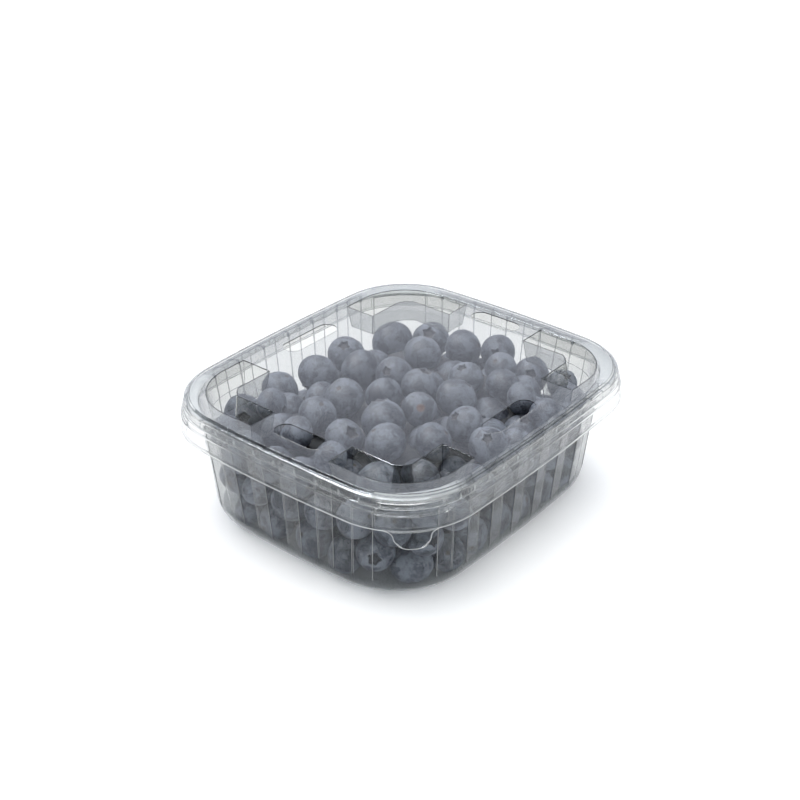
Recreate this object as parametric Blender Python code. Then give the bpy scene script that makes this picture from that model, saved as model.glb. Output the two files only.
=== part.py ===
# Shut punnet of berries: a fluted clear tub, a clear lid that clips over its rim and the heap of fruit inside.
# Metres, +Z up. The origin is the middle of the footprint, on the table.
# X runs along the short side, Y along the long side. The thumb tab is at the +X -Y corner.
import math

import bmesh
import bpy
import numpy

MM = 0.001

# ---- overall sizes, in millimetres
TOTAL_H = 53.8            # table to the lid's flat top
FILM = 0.5                # wall of the formed sheet
NODE_GAP = 0.3            # air between one piece and the next

# ---- lid
LID_TOP_X = 68.6          # half size at the top outer edge, before the swell
LID_TOP_Y = 77.1
LID_TOP_R = 33.5
LID_LIP_X = 70.2          # half size at the bottom lip
LID_LIP_Y = 79.5
LID_LIP_R = 35.3
LID_DEPTH = 13.4          # top to the bottom of the lip
LID_BOW = 0.9             # the long walls swell outward by this much
# outer profile from the panel outward: inset from the edge, spread towards the lip, drop
LID_PROFILE = (
    (2.3, 0.0, 0.0),
    (1.6, 0.0, 1.0),
    (0.55, 0.0, 1.05),
    (0.0, 0.0, 1.7),
    (0.0, 0.12, 4.1),
    (0.0, 0.36, 4.5),
    (0.0, 0.46, 6.4),
    (0.0, 0.66, 6.8),
    (0.0, 0.78, 12.3),
    (0.0, 1.0, 12.7),
    (0.0, 1.0, 13.4),
)
# corner pockets pressed down into the lid, an L each
POCKET_IN_X = 44.8
POCKET_OUT_X = 59.5
POCKET_END_Y = 32.6
POCKET_IN_Y = 55.4
POCKET_OUT_Y = 68.2
POCKET_END_X = 20.0
POCKET_OUT_R = 25.0
POCKET_IN_R = 5.0
POCKET_DEPTH = 10.0
POCKET_DRAFT = 1.4        # walls lean in by this much at the floor
# pill-shaped vents cut through the panel
VENT_WIDE = 9.0
VENT_SHORT_LONG = 24.0    # the two that run along X
VENT_SHORT_AT = 62.3
VENT_LONG_LONG = 30.0     # the two that run along Y
VENT_LONG_AT = 52.0
# thumb tab
TAB_WIDE = 13.0
TAB_LONG = 6.2
TAB_LEAN = math.radians(35.0)

# ---- tub
TUB_X = 62.9              # half size of the wall at the height below
TUB_Y = 72.4
TUB_AT_Z = 41.8
TUB_R = 34.0
TUB_SHIFT_X = -0.5        # the tub sits a little off centre under the lid
TUB_SHIFT_Y = -0.8
TUB_TAPER = math.tan(0.078)
TUB_BOW = 0.8
TUB_FOOT_R = 28.5         # corner radius of the flat floor
TUB_FILLET = 7.0          # wall to floor
FLUTE_DEEP = 1.0          # the wall folds in by this much halfway along each flute
FLUTES_X = 5              # flutes on a short side
FLUTES_Y = 7              # flutes on a long side
CORNER_PLAIN = 24.6       # smooth length left at every corner
FLUTE_FOOT_Z = 8.8        # the flutes run out just above the rounded bottom edge
RIM_DROP = 4.0            # the rim's edge turns down by this much

# ---- fruit
BERRY_COUNT = 200
BERRY_SMALL = 6.6         # radius range
BERRY_BIG = 9.2
HEAP_LEVEL = 52.6         # top of the heap at its highest
HEAP_DOME = 0.0016        # how strongly it falls away from there
HEAP_TOP_X = 8.0          # where it is highest
HEAP_TOP_Y = -14.0
BERRIES_ON_TOP = (         # where the ones under the lid lie, and how big each is
    (-19.6, 35.9, 8.3), (-11.4, 54.8, 8.8), (3.8, 59.2, 7.7), (-45.3, 15.1, 8.1),
    (-42.3, -6.3, 8.7), (-30.0, 7.4, 8.9), (-14.5, 10.0, 7.6), (-17.2, -18.0, 8.2),
    (-5.4, -6.8, 7.8), (1.9, 8.4, 8.3), (10.9, 26.6, 7.7), (17.0, 43.9, 7.0),
    (26.0, 32.8, 7.7), (18.2, 11.6, 8.8), (13.3, -7.2, 7.2), (6.4, -21.4, 9.1),
    (-16.7, -34.4, 7.8), (-37.3, -40.0, 6.9), (-13.8, -50.3, 7.0), (3.8, -41.8, 7.8),
    (18.3, -33.8, 8.5), (32.7, -22.2, 7.7), (34.2, -3.7, 7.5), (39.2, 27.4, 6.9),
    (52.6, 24.7, 7.2), (50.6, 8.7, 6.7), (49.4, -9.6, 7.7), (9.0, -55.8, 6.8),
)
BERRIES_LOW = (            # the ones under the pockets or in a corner: place, height, size
    (-47.0, 50.2, 33.4, 9.7), (-35.2, 63.0, 34.6, 8.6), (21.1, 61.4, 35.3, 8.0),
    (38.4, 61.8, 36.5, 6.7), (35.6, -59.4, 15.0, 7.6), (43.5, -50.5, 9.2, 8.4),
    (48.6, -48.0, 21.0, 7.2), (49.7, -33.5, 8.2, 7.4),
)
HEAP_SEED = 11
HEAP_ROUND = 72           # points round the heap
HEAP_RINGS = 12           # rings from the middle to the edge


def clear_scene():
    for thing in list(bpy.data.objects):
        bpy.data.objects.remove(thing, do_unlink=True)


def material(name, colour, rough, alpha=1.0):
    m = bpy.data.materials.new(name)
    m.use_nodes = True
    shader = m.node_tree.nodes["Principled BSDF"]
    shader.inputs["Base Color"].default_value = (*colour, 1.0)
    shader.inputs["Roughness"].default_value = rough
    shader.inputs["Alpha"].default_value = alpha
    return m


def add_mesh(name, points, faces, mat=None):
    data = bpy.data.meshes.new(name)
    data.from_pydata([tuple(c * MM for c in p) for p in points], [], faces)
    build = bmesh.new()
    build.from_mesh(data)
    bmesh.ops.recalc_face_normals(build, faces=build.faces)
    build.to_mesh(data)
    build.free()
    item = bpy.data.objects.new(name, data)
    bpy.context.scene.collection.objects.link(item)
    if mat is not None:
        data.materials.append(mat)
    return item


def ring_point(station, hx, hy, r, z, bow, push=0.0):
    """One point of a rounded rectangle; push moves it along the outward normal."""
    kind, k, f = station
    if kind == "corner":
        sx, sy = ((1, -1), (1, 1), (-1, 1), (-1, -1))[k]
        angle = (-0.5 + 0.5 * k + 0.5 * f) * math.pi
        nx, ny = math.cos(angle), math.sin(angle)
        x = sx * (hx - r) + (r + push) * nx
        y = sy * (hy - r) + (r + push) * ny
        return (x, y, z)
    nx, ny = ((1, 0), (0, 1), (-1, 0), (0, -1))[k]
    swell = bow * (1.0 - (2.0 * f - 1.0) ** 2)
    along = 2.0 * f - 1.0
    if nx:
        return (nx * (hx + swell + push), nx * along * (hy - r), z)
    return (-ny * along * (hx - r), ny * (hy + swell + push), z)


def plain_stations(corner_steps, side_steps):
    """Counter-clockwise from the +X -Y corner: corner, long side, corner, short side."""
    out = []
    for k in range(4):
        for i in range(corner_steps + 1):
            out.append(("corner", k, i / corner_steps))
        for i in range(1, side_steps):
            out.append(("side", k, i / side_steps))
    return out


def loft(rings, cap_first=True, cap_last=True):
    """Faces that join equal rings of points in order."""
    count = len(rings[0])
    points = [p for ring in rings for p in ring]
    faces = []
    for level in range(len(rings) - 1):
        a = level * count
        b = a + count
        for i in range(count):
            j = (i + 1) % count
            faces.append((a + i, a + j, b + j, b + i))
    if cap_first:
        faces.append(tuple(reversed(range(count))))
    if cap_last:
        last = (len(rings) - 1) * count
        faces.append(tuple(range(last, last + count)))
    return points, faces


# ------------------------------------------------------------------ tub
def flute_stations():
    """Stations round the tub, each with its share of the fold's depth."""
    out = []
    quarter = 0.25 * math.pi * TUB_R
    plain = 0.5 * CORNER_PLAIN
    for k in range(4):
        straight = 2.0 * ((TUB_Y if k % 2 == 0 else TUB_X) - TUB_R)
        number = FLUTES_Y if k % 2 == 0 else FLUTES_X
        run = straight + 2.0 * (quarter - plain)
        pitch = run / number
        spots = [(-0.5 * plain, 0.0), (0.0, 0.0)]
        for j in range(number):
            for share, deep in ((0.25, 0.5), (0.5, 1.0), (0.75, 0.5), (1.0, 0.0)):
                spots.append(((j + share) * pitch, deep))
        spots += [(run + 0.5 * plain, 0.0), (run + plain, 0.0)]
        for s, deep in spots:
            place = s + plain
            if place < quarter:
                out.append((("corner", k, 0.5 + 0.5 * place / quarter), deep))
            elif place <= quarter + straight:
                out.append((("side", k, (place - quarter) / straight), deep))
            else:
                turn = (place - quarter - straight) / quarter
                out.append((("corner", (k + 1) % 4, 0.5 * turn), deep))
    return out


def tub_ring(stations, inset, z, groove, r=None):
    """A ring of the wall at height z; inset moves it inward everywhere."""
    drop = (TUB_AT_Z - z) * TUB_TAPER
    hx = TUB_X - drop - inset
    hy = TUB_Y - drop - inset
    corner = (TUB_R - inset) if r is None else r
    out = []
    for station, deep in stations:
        x, y, zz = ring_point(station, hx, hy, corner, z, TUB_BOW, -groove * deep * FLUTE_DEEP)
        out.append((x + TUB_SHIFT_X, y + TUB_SHIFT_Y, zz))
    return out


def tub_fillet(stations, thick):
    """Rings of the rounded bottom edge, from the flat floor up to the wall."""
    out = []
    radius = TUB_FILLET - thick
    for step in (0, 1, 2, 3):
        a = math.radians(30.0 * step)
        inset = thick + radius * (1.0 - math.sin(a))
        z = thick + radius * (1.0 - math.cos(a))
        share = 1.0 - math.sin(a)
        corner = TUB_R - thick - share * (TUB_R - TUB_FOOT_R)
        out.append(tub_ring(stations, inset, z, 0.0, corner))
    return out


def rim_ring(stations, inset, z):
    """A ring of the tub's rim, which follows the lid and not the tub's own wall."""
    out = []
    for station, deep in stations:
        x, y, zz = ring_point(station, LID_TOP_X - inset, LID_TOP_Y - inset,
                              LID_TOP_R - inset, z, LID_BOW)
        out.append((x, y, zz))
    return out


def build_tub(mat):
    stations = flute_stations()
    rim_top = TOTAL_H - LID_PROFILE[2][2] - FILM - NODE_GAP
    rim_under = rim_top - FILM
    edge = FILM + NODE_GAP + 0.1
    rings = tub_fillet(stations, 0.0)
    rings.append(tub_ring(stations, 0.0, FLUTE_FOOT_Z, 1.0))
    rings.append(tub_ring(stations, 0.0, rim_under, 1.0))
    rings.append(rim_ring(stations, edge + 0.9 + FILM, rim_under))
    rings.append(rim_ring(stations, edge + FILM, rim_under - 0.9))
    rings.append(rim_ring(stations, edge + FILM, rim_under - RIM_DROP))
    rings.append(rim_ring(stations, edge, rim_under - RIM_DROP))
    rings.append(rim_ring(stations, edge, rim_under - 0.9))
    rings.append(rim_ring(stations, edge + 0.9, rim_top))
    rings.append(tub_ring(stations, FILM, rim_top, 1.0))
    rings.append(tub_ring(stations, FILM, FLUTE_FOOT_Z + 0.3, 1.0))
    rings += list(reversed(tub_fillet(stations, FILM)))
    points, faces = loft(rings)
    return add_mesh("tub", points, faces, mat)


# ------------------------------------------------------------------ lid
def lid_ring(stations, inset, spread, drop, thick=0.0):
    hx = LID_TOP_X + spread * (LID_LIP_X - LID_TOP_X) - inset - thick
    hy = LID_TOP_Y + spread * (LID_LIP_Y - LID_TOP_Y) - inset - thick
    r = LID_TOP_R + spread * (LID_LIP_R - LID_TOP_R) - inset - thick
    return [ring_point(s, hx, hy, r, TOTAL_H - drop, LID_BOW) for s in stations]


def pocket_outline(grow):
    """Corner pocket in the +X +Y quarter, widened all round by grow."""
    ox, oy = POCKET_OUT_X + grow, POCKET_OUT_Y + grow
    ix, iy = POCKET_IN_X - grow, POCKET_IN_Y - grow
    ex, ey = POCKET_END_X - grow, POCKET_END_Y - grow
    ro = POCKET_OUT_R + grow
    ri = max(POCKET_IN_R - grow, 0.5)
    out = [(ex, oy), (ex, iy)]
    for i in range(4):
        a = math.radians(90.0 - 30.0 * i)
        out.append((ix - ri + ri * math.cos(a), iy - ri + ri * math.sin(a)))
    out += [(ix, ey), (ox, ey)]
    for i in range(7):
        a = math.radians(15.0 * i)
        out.append((ox - ro + ro * math.cos(a), oy - ro + ro * math.sin(a)))
    return out


def pockets(name, grow, top, deep):
    """All four pockets as closed tapered blocks in one mesh."""
    points = []
    faces = []
    for sx, sy in ((1, -1), (1, 1), (-1, 1), (-1, -1)):
        rings = []
        for z, more in ((top, grow), (TOTAL_H - deep, grow - POCKET_DRAFT)):
            rings.append([(sx * x, sy * y, z) for x, y in pocket_outline(more)])
        part_points, part_faces = loft(rings)
        base = len(points)
        points += part_points
        faces += [tuple(base + i for i in face) for face in part_faces]
    return add_mesh(name, points, faces)


def vents(name):
    """Four pill-shaped cutters through the panel."""
    points = []
    faces = []
    half = 0.5 * VENT_WIDE
    plan = (
        (0.0, -VENT_SHORT_AT, VENT_SHORT_LONG, False),
        (0.0, VENT_SHORT_AT, VENT_SHORT_LONG, False),
        (-VENT_LONG_AT, 0.0, VENT_LONG_LONG, True),
        (VENT_LONG_AT, 0.0, VENT_LONG_LONG, True),
    )
    for cx, cy, long, along_y in plan:
        outline = []
        reach = 0.5 * long - half
        for end in (1, -1):
            for i in range(7):
                a = math.radians(-90.0 + 30.0 * i)
                outline.append((end * (reach + half * math.cos(a)), end * half * math.sin(a)))
        rings = []
        for z in (TOTAL_H - 3.0, TOTAL_H + 2.0):
            if along_y:
                rings.append([(cx - v, cy + u, z) for u, v in outline])
            else:
                rings.append([(cx + u, cy + v, z) for u, v in outline])
        part_points, part_faces = loft(rings)
        base = len(points)
        points += part_points
        faces += [tuple(base + i for i in face) for face in part_faces]
    return add_mesh(name, points, faces)


def thumb_tab(name):
    """Rounded tab that hangs from the lip at the +X -Y corner and leans outward."""
    columns = 9
    turn = -0.25 * math.pi
    out_x, out_y = math.cos(turn), math.sin(turn)
    side_x, side_y = -out_y, out_x
    mid_x = LID_LIP_X - LID_LIP_R
    mid_y = -(LID_LIP_Y - LID_LIP_R)
    top_z = TOTAL_H - LID_DEPTH + 0.35
    front = []
    back = []
    for row in range(4):
        for c in range(columns):
            u = 2.0 * c / (columns - 1) - 1.0
            narrow = (1.45, 1.12, 0.95, 0.72)[row]
            long = TAB_LONG * (0.0, 0.22, 0.58, 1.0)[row] * (1.0 - 0.30 * u ** 4)
            s = 0.5 * TAB_WIDE * narrow * u
            reach = LID_LIP_R - 0.12 + long * math.sin(TAB_LEAN) - s * s / (2.0 * LID_LIP_R)
            z = top_z - long * math.cos(TAB_LEAN)
            for keep, back_off in ((front, 0.0), (back, 0.42)):
                keep.append((mid_x + out_x * (reach - back_off) + side_x * s,
                             mid_y + out_y * (reach - back_off) + side_y * s, z))
    count = len(front)
    faces = []
    for row in range(3):
        for c in range(columns - 1):
            a = row * columns + c
            b = a + columns
            faces.append((a, b, b + 1, a + 1))
            faces.append((count + a, count + a + 1, count + b + 1, count + b))
    edge = [c for c in range(columns)]
    edge += [row * columns + columns - 1 for row in (1, 2, 3)]
    edge += [3 * columns + c for c in range(columns - 2, -1, -1)]
    edge += [row * columns for row in (2, 1)]
    for i, a in enumerate(edge):
        b = edge[(i + 1) % len(edge)]
        faces.append((a, b, count + b, count + a))
    return add_mesh(name, front + back, faces)


def boolean(target, cutter, how):
    mod = target.modifiers.new(how.lower() + "_" + cutter.name, "BOOLEAN")
    mod.operation = how
    mod.solver = "EXACT"
    mod.object = cutter
    cutter.hide_render = True
    cutter.display_type = "WIRE"


def build_lid(mat):
    stations = plain_stations(8, 4)
    outer = [lid_ring(stations, *row) for row in LID_PROFILE]
    inner = []
    for inset, spread, drop in LID_PROFILE:
        top = drop + FILM if drop < 1.2 else drop
        inner.append(lid_ring(stations, inset, spread, top, FILM))
    inner[3] = lid_ring(stations, 0.1, 0.0, 2.1, FILM)
    rings = outer + list(reversed(inner))
    points, faces = loft(rings)
    lid = add_mesh("lid", points, faces, mat)
    boolean(lid, pockets("pocket_walls", FILM, TOTAL_H - 0.2, POCKET_DEPTH + FILM), "UNION")
    boolean(lid, thumb_tab("tab_plate"), "UNION")
    boolean(lid, pockets("pocket_space", 0.0, TOTAL_H + 0.6, POCKET_DEPTH), "DIFFERENCE")
    boolean(lid, vents("vent_space"), "DIFFERENCE")
    return lid


# ------------------------------------------------------------------ fruit
def tub_room(x, y, z, reach):
    """How far a ball of this reach pokes through the tub's inner wall, and which way is in."""
    drop = (TUB_AT_Z - z) * TUB_TAPER
    side = FILM + FLUTE_DEEP + NODE_GAP + reach
    hx = TUB_X - drop
    hy = TUB_Y - drop
    qx = numpy.abs(x - TUB_SHIFT_X) - (hx - TUB_R)
    qy = numpy.abs(y - TUB_SHIFT_Y) - (hy - TUB_R)
    ax = numpy.maximum(qx, 0.0)
    ay = numpy.maximum(qy, 0.0)
    corner = (ax > 0) & (ay > 0)
    span = numpy.maximum(numpy.hypot(ax, ay), 1e-9)
    nx = numpy.where(corner, ax / span, (qx > qy).astype(float)) * numpy.sign(x - TUB_SHIFT_X)
    ny = numpy.where(corner, ay / span, (qx <= qy).astype(float)) * numpy.sign(y - TUB_SHIFT_Y)
    far = numpy.where(corner, span, numpy.maximum(qx, qy)) - (TUB_R - side)
    return far, nx, ny


def heap_level(x, y):
    """Height of the heap's top surface."""
    fall = 0.5 * HEAP_DOME * ((x - HEAP_TOP_X) ** 2 + (y - HEAP_TOP_Y) ** 2)
    return HEAP_LEVEL - fall


def pocket_push(x, y, z, radius):
    """Shift that frees balls from the lid's corner pockets."""
    low = TOTAL_H - POCKET_DEPTH - FILM - NODE_GAP
    ax = numpy.abs(x)
    ay = numpy.abs(y)
    shift = [numpy.zeros(len(x)), numpy.zeros(len(x)), numpy.zeros(len(x))]
    legs = ((POCKET_IN_X, POCKET_END_Y), (POCKET_END_X, POCKET_IN_Y))
    for from_x, from_y in legs:
        px = numpy.clip(ax, from_x - FILM, POCKET_OUT_X)
        py = numpy.clip(ay, from_y - FILM, POCKET_OUT_Y)
        pz = numpy.maximum(z, low)
        dx, dy, dz = ax - px, ay - py, z - pz
        span = numpy.sqrt(dx * dx + dy * dy + dz * dz)
        free = numpy.where(span > 1e-6, radius + NODE_GAP - span, 0.0)
        push = numpy.maximum(free, 0.0) / numpy.maximum(span, 1e-6)
        within = span <= 1e-6
        shift[0] += push * dx * numpy.sign(x)
        shift[1] += push * dy * numpy.sign(y)
        shift[2] += push * dz - numpy.where(within, 2.0, 0.0)
    return shift


def settle_berries():
    """Balls pulled down until they rest against each other, round the ones that have a place."""
    luck = numpy.random.RandomState(HEAP_SEED)
    places = [(x, y, float(heap_level(x, y)) - r, r) for x, y, r in BERRIES_ON_TOP]
    places += list(BERRIES_LOW)
    placed = numpy.array(places)
    held = len(placed)
    free = BERRY_COUNT - held
    grow = luck.beta(2.2, 2.2, free)
    radius = numpy.concatenate([placed[:, 3], BERRY_SMALL + (BERRY_BIG - BERRY_SMALL) * grow])
    x = numpy.concatenate([placed[:, 0], luck.uniform(-52.0, 52.0, free)])
    y = numpy.concatenate([placed[:, 1], luck.uniform(-62.0, 62.0, free)])
    z = numpy.concatenate([placed[:, 2], luck.uniform(8.0, 34.0, free)])
    floor = FILM + NODE_GAP
    roof = TOTAL_H - FILM - NODE_GAP
    for step in range(700):
        pull = 0.5 if step < 400 else 0.5 * (700 - step) / 300.0
        z[held:] -= pull
        for again in range(3):
            dx = x[:, None] - x[None, :]
            dy = y[:, None] - y[None, :]
            dz = z[:, None] - z[None, :]
            dist = numpy.sqrt(dx * dx + dy * dy + dz * dz) + 1e-9
            over = 0.99 * (radius[:, None] + radius[None, :]) - dist
            numpy.fill_diagonal(over, 0.0)
            push = numpy.where(over > 0, over, 0.0) * 0.42 / dist
            x = x + (push * dx).sum(1)
            y = y + (push * dy).sum(1)
            z = z + (push * dz).sum(1)
            x[:held] += 0.3 * (placed[:, 0] - x[:held])
            y[:held] += 0.3 * (placed[:, 1] - y[:held])
            z[:held] += 0.3 * (placed[:, 2] - z[:held])
            far, nx, ny = tub_room(x, y, z, radius)
            out = numpy.maximum(far, 0.0)
            x = x - out * nx
            y = y - out * ny
            sx, sy, sz = pocket_push(x, y, z, radius)
            x = x + sx
            y = y + sy
            z = z + sz
            z[held:] = numpy.minimum(z[held:], heap_level(x, y)[held:] - 1.0 - radius[held:])
            z = numpy.clip(z, floor + radius, roof - radius)
    return x, y, z, radius


def build_heap(mat):
    bx, by, bz, br = settle_berries()
    turns = [2.0 * math.pi * i / HEAP_ROUND for i in range(HEAP_ROUND)]
    levels = (0.8, 3.5, 9.0, 16.0, 23.0, 30.0)

    def wall_at(a, z, inset):
        """Point of the tub's inner wall in one direction from the middle."""
        lo, hi = 10.0, 120.0
        for again in range(26):
            mid = 0.5 * (lo + hi)
            px = TUB_SHIFT_X + mid * math.cos(a)
            py = TUB_SHIFT_Y + mid * math.sin(a)
            far, nx, ny = tub_room(numpy.array([px]), numpy.array([py]), z, inset)
            if far[0] > 0.0:
                hi = mid
            else:
                lo = mid
        return lo

    def roof_at(px, py):
        """Underside of the lid: its panel, or a pocket's floor near the corners."""
        ax, ay = abs(px), abs(py)
        leg_y = ax > POCKET_IN_X - 5.5 and ay > POCKET_END_Y - 5.5
        leg_x = ay > POCKET_IN_Y - 5.5 and ax > POCKET_END_X - 5.5
        drop = POCKET_DEPTH if leg_x or leg_y else 0.0
        return TOTAL_H - drop - FILM - NODE_GAP

    def top_at(px, py):
        d = numpy.hypot(bx - px, by - py)
        inside = numpy.sqrt(numpy.maximum(br * br - d * d, 0.0))
        rise = numpy.where(d < br, bz + inside, bz - 1.4 * (d - br))
        return float(rise.max())

    rings = []
    for z in levels:
        fillet = max(0.0, TUB_FILLET - z)
        round_in = TUB_FILLET - math.sqrt(max(TUB_FILLET ** 2 - fillet ** 2, 0.0))
        ring = []
        for a in turns:
            reach = wall_at(a, z, round_in)
            ca, sa = math.cos(a), math.sin(a)
            px = TUB_SHIFT_X + reach * ca
            py = TUB_SHIFT_Y + reach * sa
            along = (bx - px) * ca + (by - py) * sa
            off2 = ((bx - px) * sa - (by - py) * ca) ** 2 + (bz - z) ** 2
            gap = numpy.where(off2 < br * br, along + numpy.sqrt(numpy.maximum(br * br - off2, 0)), -9.0)
            dent = min(0.0, max(-3.5, float(gap.max())))
            ring.append((px + dent * ca, py + dent * sa, z))
        rings.append(ring)
    edge = []
    for i, a in enumerate(turns):
        reach = wall_at(a, levels[-1] + 4.0, 0.0) - 1.2
        px = TUB_SHIFT_X + reach * math.cos(a)
        py = TUB_SHIFT_Y + reach * math.sin(a)
        edge.append((px, py, max(top_at(px, py) - 1.0, levels[-1] + 1.5)))
    rings.append(edge)
    for level in range(1, HEAP_RINGS):
        share = 1.0 - level / HEAP_RINGS
        ring = []
        for px0, py0, pz0 in edge:
            px = TUB_SHIFT_X + (px0 - TUB_SHIFT_X) * share
            py = TUB_SHIFT_Y + (py0 - TUB_SHIFT_Y) * share
            ceiling = roof_at(px, py)
            ring.append((px, py, min(max(top_at(px, py), levels[-1] + 1.5), ceiling)))
        rings.append(ring)
    points, faces = loft(rings, True, False)
    points.append((TUB_SHIFT_X, TUB_SHIFT_Y, top_at(TUB_SHIFT_X, TUB_SHIFT_Y)))
    last = (len(rings) - 1) * HEAP_ROUND
    for i in range(HEAP_ROUND):
        faces.append((last + i, last + (i + 1) % HEAP_ROUND, len(points) - 1))
    return add_mesh("berries", points, faces, mat)


clear_scene()
film = material("clear_film", (0.92, 0.94, 0.94), 0.08, 0.35)
skin = material("berry_skin", (0.05, 0.06, 0.11), 0.6)
build_tub(film)
build_lid(film)
build_heap(skin)
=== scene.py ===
# %% [markdown]
# # A shut punnet of dark blue berries
# A punnet is the small tray that soft fruit is sold in. This one has three kinds of piece:
# a tub formed from one clear sheet, a lid formed from another that clips over its rim, and
# about two hundred berries. The engineering model already gives the true sizes of all three
# as plain solids. This lesson dresses them: thin glossy film with small folds and beads, and
# separate berries with bloom, crowns and scars.
#
# The lesson only ever adds pieces. The engineering model stays where it is and sets the frame.

# %% Load the frame
import math

import bmesh
import bpy
import numpy
from mathutils import Matrix, Vector


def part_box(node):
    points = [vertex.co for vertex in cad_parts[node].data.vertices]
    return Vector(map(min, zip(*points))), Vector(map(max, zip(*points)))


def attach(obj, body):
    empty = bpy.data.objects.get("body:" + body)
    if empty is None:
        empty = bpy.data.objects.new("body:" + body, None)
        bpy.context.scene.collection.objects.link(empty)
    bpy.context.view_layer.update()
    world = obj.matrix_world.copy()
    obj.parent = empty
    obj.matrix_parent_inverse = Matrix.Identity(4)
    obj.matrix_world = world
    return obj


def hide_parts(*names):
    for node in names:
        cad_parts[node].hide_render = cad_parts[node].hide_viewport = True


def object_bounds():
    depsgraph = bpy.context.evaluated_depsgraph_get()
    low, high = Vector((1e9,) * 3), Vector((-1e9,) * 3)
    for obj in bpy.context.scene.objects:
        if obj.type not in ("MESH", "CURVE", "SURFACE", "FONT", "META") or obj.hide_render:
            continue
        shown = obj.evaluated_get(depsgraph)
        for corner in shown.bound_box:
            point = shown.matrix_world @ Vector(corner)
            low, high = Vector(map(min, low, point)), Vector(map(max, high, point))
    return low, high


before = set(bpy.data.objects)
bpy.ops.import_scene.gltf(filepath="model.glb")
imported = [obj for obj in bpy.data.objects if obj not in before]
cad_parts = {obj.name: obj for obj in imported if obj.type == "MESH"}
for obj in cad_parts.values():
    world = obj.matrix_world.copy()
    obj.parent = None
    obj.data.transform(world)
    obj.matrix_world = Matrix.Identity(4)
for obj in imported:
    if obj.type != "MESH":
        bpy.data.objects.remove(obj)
cad_low, cad_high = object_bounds()
MM = 0.001
print("solids:", sorted(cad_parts))
print("overall, mm:", [round((cad_high[i] - cad_low[i]) / MM, 1) for i in range(3)])

# %% [markdown]
# ## Sizes
# The film pieces are drawn again at a finer grain, because flat facets would show at once in
# anything that shines. They therefore use the same named sizes as the solids. The lid is the
# outermost piece, so its box gives its sizes. What is left is the proportions of a formed
# tray: how far a wall steps in, how round a corner is, how high a ledge stands.

# %% Sizes that the tub and the lid share, in millimetres
lid_low, lid_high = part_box("lid")
TOTAL_H = lid_high[2] / MM
FILM = 0.5                # wall of the solids
SHEET = 0.38              # the sheet as drawn, a little thinner than that
NODE_GAP = 0.3

LID_BOW = 0.9             # the walls swell outward by this much halfway along
LID_STEP_X, LID_STEP_Y = 1.6, 2.4          # the lip stands out this far past the top edge
LID_LIP_X = lid_high[0] / MM - LID_BOW
LID_LIP_Y = lid_high[1] / MM - LID_BOW
LID_LIP_R = 35.3
LID_TOP_X = LID_LIP_X - LID_STEP_X
LID_TOP_Y = LID_LIP_Y - LID_STEP_Y
LID_TOP_R = 33.5
LEDGE_DROP = 1.05         # a narrow ledge runs round the panel, this far below it
print("lid, mm:", round(2 * LID_TOP_X, 1), "x", round(2 * LID_TOP_Y, 1), "at its top edge")


# %% [markdown]
# ## Rings and lofts
# Both film pieces are stretched over a mould, and every level of them is a rounded rectangle
# whose long walls swell a little. One function gives a point of such a ring, another sews
# rings into a skin. Modelling by hand with loop cuts would work too, but a function keeps
# every level exactly in step with the next, and a change of one size moves them all.

# %% Points of a ring, and a skin through rings
def ring_point(station, hx, hy, r, z, bow, push=0.0):
    """One point of a level; a station is a corner or side, its number and a share along it."""
    kind, k, f = station
    if kind == "corner":
        sx, sy = ((1, -1), (1, 1), (-1, 1), (-1, -1))[k]
        angle = (-0.5 + 0.5 * k + 0.5 * f) * math.pi
        x = sx * (hx - r) + (r + push) * math.cos(angle)
        y = sy * (hy - r) + (r + push) * math.sin(angle)
        return (x, y, z)
    nx, ny = ((1, 0), (0, 1), (-1, 0), (0, -1))[k]
    along = 2.0 * f - 1.0
    swell = bow * (1.0 - along ** 2)
    if nx:
        return (nx * (hx + swell + push), nx * along * (hy - r), z)
    return (-ny * along * (hx - r), ny * (hy + swell + push), z)


def loft(rings, cap_first=False, cap_last=False):
    """Sews each ring to the next, and closes the ends if asked."""
    count = len(rings[0])
    points = [p for ring in rings for p in ring]
    faces = []
    for level in range(len(rings) - 1):
        a = level * count
        for i in range(count):
            j = (i + 1) % count
            faces.append((a + i, a + j, a + count + j, a + count + i))
    if cap_first:
        faces.append(tuple(reversed(range(count))))
    if cap_last:
        faces.append(tuple(range(len(points) - count, len(points))))
    return points, faces


def new_piece(name, points, faces, smooth=True):
    data = bpy.data.meshes.new(name)
    data.from_pydata([tuple(c * MM for c in p) for p in points], [], faces)
    data.update()
    piece = bpy.data.objects.new(name, data)
    bpy.context.scene.collection.objects.link(piece)
    if smooth:
        data.polygons.foreach_set("use_smooth", [True] * len(data.polygons))
    return piece


def bake_modifiers(piece):
    """Swaps the mesh for what its modifiers make of it."""
    graph = bpy.context.evaluated_depsgraph_get()
    data = bpy.data.meshes.new_from_object(piece.evaluated_get(graph))
    old = piece.data
    piece.modifiers.clear()
    piece.data = data
    data.name = piece.name
    bpy.data.meshes.remove(old)


def triangles(piece):
    return sum(len(p.vertices) - 2 for p in piece.data.polygons)
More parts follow.
